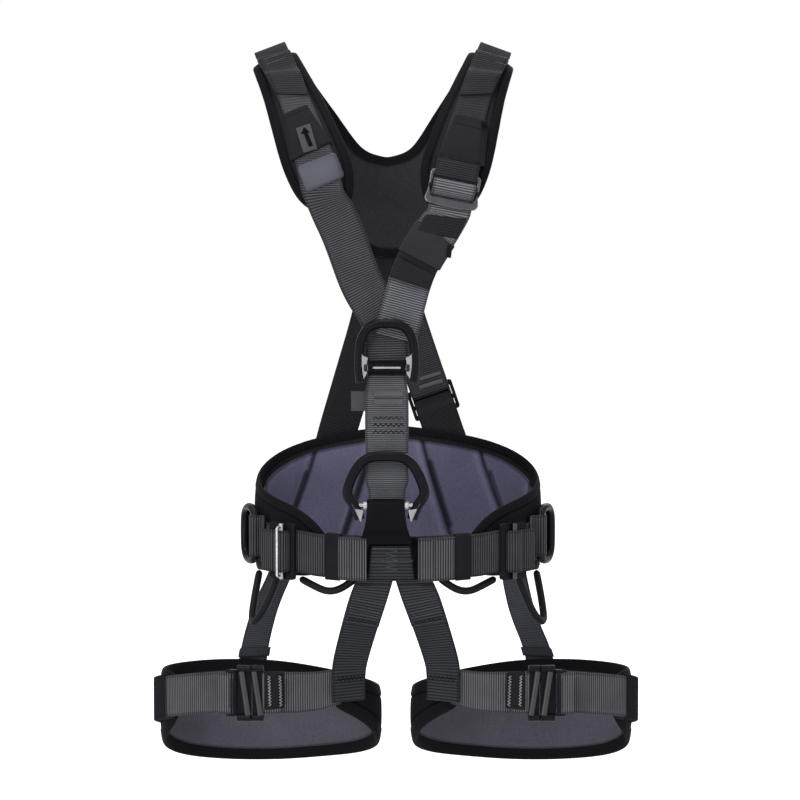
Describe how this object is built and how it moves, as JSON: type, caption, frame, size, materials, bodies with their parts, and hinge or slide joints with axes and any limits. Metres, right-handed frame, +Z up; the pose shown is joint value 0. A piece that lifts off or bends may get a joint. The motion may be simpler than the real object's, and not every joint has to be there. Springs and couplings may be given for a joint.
{
  "type": "tree climbing saddle",
  "caption": "Full-body tree climbing harness: padded shoulder yoke, crossed chest straps, padded waist belt with steel rings and gear loops, and padded leg loops.",
  "frame": {"origin": "centre of the waist opening, level with the side rings", "axes": "+Z up the wearer's body, -Y the way the wearer faces, +X the viewer's right"},
  "size_m": [0.5108, 0.2775, 0.7698],
  "materials": {
    "webbing": "ribbed black polyester webbing",
    "pad_shell": "matt black coated cloth over foam",
    "pad_lining": "grey spacer mesh",
    "elastic": "black woven elastic",
    "ring_metal": "black forged metal, half gloss",
    "pin_metal": "bright steel",
    "buckle_metal": "dark grey metal with worn edges",
    "keeper_plastic": "smooth black",
    "gear_tube": "black moulded tube"
  },
  "bodies": {
    "harness": {"yoke_pad": "pad_shell", "shoulder_loops_left": "webbing", "shoulder_loops_right": "webbing", "chest_strap_left": "webbing", "chest_strap_right": "webbing", "chest_adjuster_frame": "buckle_metal", "chest_strap_lower": "webbing", "sternal_sleeve": "pad_shell", "sternum_strap": "webbing", "belly_loop": "pad_shell", "crotch_junction": "webbing", "spine_strap": "webbing", "back_strap_left": "webbing", "back_strap_right": "webbing", "back_adjuster_frame": "buckle_metal", "back_strap_lower": "webbing", "dorsal_holder": "webbing", "waist_pad": "pad_shell", "waist_lining": "pad_lining", "belt_webbing": "webbing", "belt_bridge": "webbing", "belt_strap_left": "webbing", "belt_keeper_left": "keeper_plastic", "waist_adjuster_left_frame": "buckle_metal", "side_ring_holder_left": "webbing", "belt_strap_right": "webbing", "belt_keeper_right": "keeper_plastic", "waist_adjuster_right_frame": "buckle_metal", "side_ring_holder_right": "webbing", "rear_leg_strap_left": "elastic", "rear_leg_strap_right": "elastic"},
    "sternal_ring": {"sternal_ring": "ring_metal", "sternal_ring_pin": "pin_metal"},
    "ventral_ring": {"ventral_ring": "ring_metal", "ventral_ring_pin": "pin_metal"},
    "dorsal_ring": {"dorsal_ring": "ring_metal"},
    "chest_adjuster_bar": {"chest_adjuster_bar": "buckle_metal"},
    "back_adjuster_bar": {"back_adjuster_bar": "buckle_metal"},
    "side_ring_left": {"side_ring_left": "ring_metal"},
    "waist_adjuster_bar_left": {"waist_adjuster_left_bar": "buckle_metal"},
    "gear_loop_side_left": {"gear_loop_side_left": "gear_tube"},
    "gear_loop_front_left": {"gear_loop_front_left": "gear_tube"},
    "leg_loop_left": {"leg_pad_left": "pad_shell", "leg_webbing_inner_left": "webbing", "leg_buckle_frame_left": "buckle_metal", "leg_webbing_outer_left": "webbing", "leg_keeper_left": "keeper_plastic", "front_leg_strap_left": "webbing"},
    "leg_buckle_hook_left": {"leg_buckle_hook_left": "buckle_metal"},
    "side_ring_right": {"side_ring_right": "ring_metal"},
    "waist_adjuster_bar_right": {"waist_adjuster_right_bar": "buckle_metal"},
    "gear_loop_side_right": {"gear_loop_side_right": "gear_tube"},
    "gear_loop_front_right": {"gear_loop_front_right": "gear_tube"},
    "leg_loop_right": {"leg_pad_right": "pad_shell", "leg_webbing_inner_right": "webbing", "leg_buckle_frame_right": "buckle_metal", "leg_webbing_outer_right": "webbing", "leg_keeper_right": "keeper_plastic", "front_leg_strap_right": "webbing"},
    "leg_buckle_hook_right": {"leg_buckle_hook_right": "buckle_metal"}
  },
  "joints": [
    {"name": "sternal_ring_turn", "type": "hinge", "parent": "harness", "child": "sternal_ring", "pos_m": [-0.009, -0.127, 0.179], "axis": [1, 0, 0], "range_deg": [0, 150]},
    {"name": "ventral_ring_turn", "type": "hinge", "parent": "harness", "child": "ventral_ring", "pos_m": [-0.01, -0.1274, 0.04], "axis": [1, 0, 0], "range_deg": [0, 150]},
    {"name": "dorsal_ring_turn", "type": "hinge", "parent": "harness", "child": "dorsal_ring", "pos_m": [-0.009, 0.12936, 0.262], "axis": [1, 0, 0], "range_deg": [0, 140]},
    {"name": "side_ring_left_turn", "type": "hinge", "parent": "harness", "child": "side_ring_left", "pos_m": [-0.1456, -0.04168, -0.00025], "axis": [0, 0, 1], "range_deg": [0, 120]},
    {"name": "side_ring_right_turn", "type": "hinge", "parent": "harness", "child": "side_ring_right", "pos_m": [0.1496, -0.04168, -0.00025], "axis": [0, 0, -1], "range_deg": [0, 120]},
    {"name": "chest_adjuster_grip", "type": "slide", "parent": "harness", "child": "chest_adjuster_bar", "axis": [0.1783, 0.252, 0.9511], "range_m": [0, 0.003]},
    {"name": "back_adjuster_grip", "type": "slide", "parent": "harness", "child": "back_adjuster_bar", "axis": [-0.3195, 0.1425, 0.9368], "range_m": [0, 0.003]},
    {"name": "waist_adjuster_left_grip", "type": "slide", "parent": "harness", "child": "waist_adjuster_bar_left", "axis": [-0.7979, 0.6028, 0], "range_m": [0, 0.003]},
    {"name": "waist_adjuster_right_grip", "type": "slide", "parent": "harness", "child": "waist_adjuster_bar_right", "axis": [0.7979, 0.6028, 0], "range_m": [0, 0.003]},
    {"name": "gear_loop_side_left_swing", "type": "hinge", "parent": "harness", "child": "gear_loop_side_left", "pos_m": [-0.13328, -0.03259, -0.04384], "axis": [-0.4614, 0.8864, -0.0386], "range_deg": [-10, 50]},
    {"name": "gear_loop_side_right_swing", "type": "hinge", "parent": "harness", "child": "gear_loop_side_right", "pos_m": [0.13728, -0.03259, -0.04384], "axis": [-0.4614, -0.8864, 0.0386], "range_deg": [-10, 50]},
    {"name": "gear_loop_front_left_swing", "type": "hinge", "parent": "harness", "child": "gear_loop_front_left", "pos_m": [-0.06916, -0.08288, -0.0413], "axis": [-0.9296, 0.365, -0.0506], "range_deg": [-10, 50]},
    {"name": "gear_loop_front_right_swing", "type": "hinge", "parent": "harness", "child": "gear_loop_front_right", "pos_m": [0.07316, -0.08288, -0.0413], "axis": [-0.9296, -0.365, 0.0506], "range_deg": [-10, 50]},
    {"name": "leg_loop_left_swing", "type": "hinge", "parent": "harness", "child": "leg_loop_left", "pos_m": [-0.02219, -0.10498, -0.04], "axis": [-0.9942, 0.1071, 0], "range_deg": [-10, 35], "deforming": ["rear_leg_strap_left"]},
    {"name": "leg_loop_right_swing", "type": "hinge", "parent": "harness", "child": "leg_loop_right", "pos_m": [0.01898, -0.10565, -0.04], "axis": [-0.9969, -0.079, 0], "range_deg": [-10, 35], "deforming": ["rear_leg_strap_right"]},
    {"name": "leg_buckle_hook_left_turn", "type": "hinge", "parent": "leg_loop_left", "child": "leg_buckle_hook_left", "pos_m": [-0.16837, -0.08689, -0.15707], "axis": [0, 0, -1], "range_deg": [0, 40]},
    {"name": "leg_buckle_hook_right_turn", "type": "hinge", "parent": "leg_loop_right", "child": "leg_buckle_hook_right", "pos_m": [0.16837, -0.08689, -0.15707], "axis": [0, 0, 1], "range_deg": [0, 40]}
  ]
}
